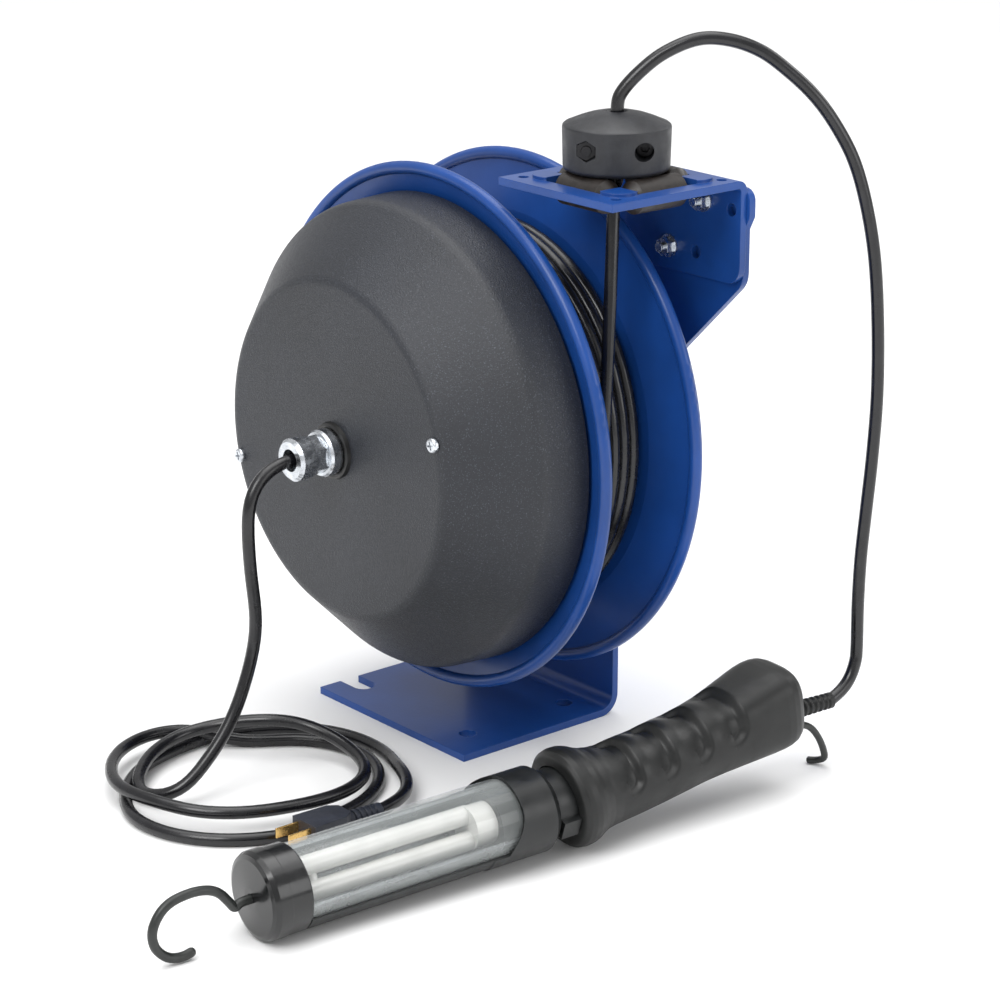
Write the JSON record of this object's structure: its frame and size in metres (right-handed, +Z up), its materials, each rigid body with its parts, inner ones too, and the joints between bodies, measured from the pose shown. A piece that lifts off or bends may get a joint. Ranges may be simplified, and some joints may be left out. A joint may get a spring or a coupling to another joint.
{
  "type": "extension cord reel",
  "caption": "Spring-driven cord reel on a bent-plate stand, with roller guide, cord stop, plug-in feeder cord and a fluorescent hand lamp on the reel cord.",
  "frame": {"origin": "centre of the stand foot, on its underside", "axes": "+X along the reel axis from the domed cover to the upright, -Y the side where the cord is drawn, +Z up"},
  "size_m": [0.5168, 0.4005, 0.4624],
  "materials": {
    "blue_paint": "gloss",
    "black_powder_coat": "fine textured powder coat",
    "zinc": "bright zinc plate",
    "black_screw": "black oxide",
    "spring_steel": "blued spring steel",
    "roller_nylon": "satin",
    "stop_rubber": "fine grained",
    "cord_jacket": "semi-gloss",
    "bronze": "sintered",
    "brass": "polished",
    "phenolic": "moulded",
    "carbon": "dull",
    "black_rubber": "matte",
    "lamp_black_gloss": "gloss",
    "lamp_black_satin": "satin",
    "handle_black": "satin moulded rubber",
    "hook_black": "satin coated wire",
    "clear_lens": "clear polycarbonate",
    "reflector_grey": "silvered",
    "lamp_glass_white": "phosphor-coated glass",
    "ballast_steel": "bare steel",
    "plug_black": "satin moulding"
  },
  "bodies": {
    "stand": {"base_frame": "blue_paint", "axle": "zinc", "axle_bolts": "zinc", "guide_bracket": "blue_paint", "guide_bolts": "zinc", "guide_nuts": "zinc", "roller_pins": "zinc", "stop_half_near": "stop_rubber", "stop_half_far": "stop_rubber", "stop_screws": "black_screw", "stop_nuts": "black_screw", "reel_cord_run": "cord_jacket", "pawl_post": "zinc", "pawl_spring": "spring_steel", "slip_ring_core": "phenolic", "slip_rings": "brass", "gland_body": "zinc", "gland_nut": "zinc", "gland_grommet": "black_rubber", "lamp_cap": "lamp_black_gloss", "cap_ring": "lamp_black_gloss", "lens_tube": "clear_lens", "lens_gaskets": "black_rubber", "reflector": "reflector_grey", "lamp_tubes": "lamp_glass_white", "lamp_socket": "lamp_black_satin", "lamp_collar": "lamp_black_satin", "neck_ring": "lamp_black_satin", "lamp_handle": "handle_black", "ballast": "ballast_steel", "lamp_relief": "handle_black", "lamp_cord": "cord_jacket", "feeder_drop": "cord_jacket", "feeder_coil": "cord_jacket", "feeder_tail": "cord_jacket", "plug_body": "plug_black", "plug_pins": "brass"},
    "drum": {"front_disc": "blue_paint", "back_disc": "blue_paint", "drum_core": "blue_paint", "front_hub": "zinc", "rear_hub": "zinc", "bushings": "bronze", "mainspring": "spring_steel", "ratchet_wheel": "zinc", "dome_cover": "black_powder_coat", "cover_posts": "zinc", "cover_screws": "zinc", "cover_seal": "black_rubber", "cord_winding": "cord_jacket", "brush_holder": "phenolic", "brushes": "carbon"},
    "pawl": {"pawl": "zinc"},
    "roller_left": {"roller_left": "roller_nylon"},
    "roller_right": {"roller_right": "roller_nylon"},
    "roller_near": {"roller_near": "roller_nylon"},
    "roller_far": {"roller_far": "roller_nylon"},
    "lamp_hook": {"lamp_hook": "hook_black"},
    "tail_hook": {"tail_hook": "hook_black"},
    "switch_rocker": {"switch_rocker": "lamp_black_satin"}
  },
  "joints": [
    {"name": "drum_spin", "type": "hinge", "parent": "stand", "child": "drum", "pos_m": [0, -0.021, 0.205], "axis": [1, 0, 0], "continuous": true, "deforming": ["mainspring"]},
    {"name": "pawl_swing", "type": "hinge", "parent": "stand", "child": "pawl", "pos_m": [0.0375, -0.02331, 0.139], "axis": [1, 0, 0], "range_deg": [0, 11.5]},
    {"name": "roller_left_spin", "type": "hinge", "parent": "stand", "child": "roller_left", "pos_m": [-0.0215, -0.1385, 0.3713], "axis": [0, 1, 0], "continuous": true},
    {"name": "roller_right_spin", "type": "hinge", "parent": "stand", "child": "roller_right", "pos_m": [0.0345, -0.1385, 0.3713], "axis": [0, 1, 0], "continuous": true},
    {"name": "roller_near_spin", "type": "hinge", "parent": "stand", "child": "roller_near", "pos_m": [0.0065, -0.1665, 0.3713], "axis": [1, 0, 0], "continuous": true},
    {"name": "roller_far_spin", "type": "hinge", "parent": "stand", "child": "roller_far", "pos_m": [0.0065, -0.1105, 0.3713], "axis": [1, 0, 0], "continuous": true},
    {"name": "lamp_hook_swivel", "type": "hinge", "parent": "stand", "child": "lamp_hook", "pos_m": [-0.31102, -0.19442, 0.02612], "axis": [0.9962, -0.0842, 0.0244], "continuous": true},
    {"name": "tail_hook_swivel", "type": "hinge", "parent": "stand", "child": "tail_hook", "pos_m": [0.06055, -0.22582, 0.034], "axis": [0.9886, -0.0835, 0.1253], "range_deg": [-95, 95]},
    {"name": "switch_rock", "type": "hinge", "parent": "stand", "child": "switch_rocker", "pos_m": [-0.0041, -0.19828, 0.04371], "axis": [-0.1249, 0.0106, 0.9921], "range_deg": [0, 8]}
  ]
}
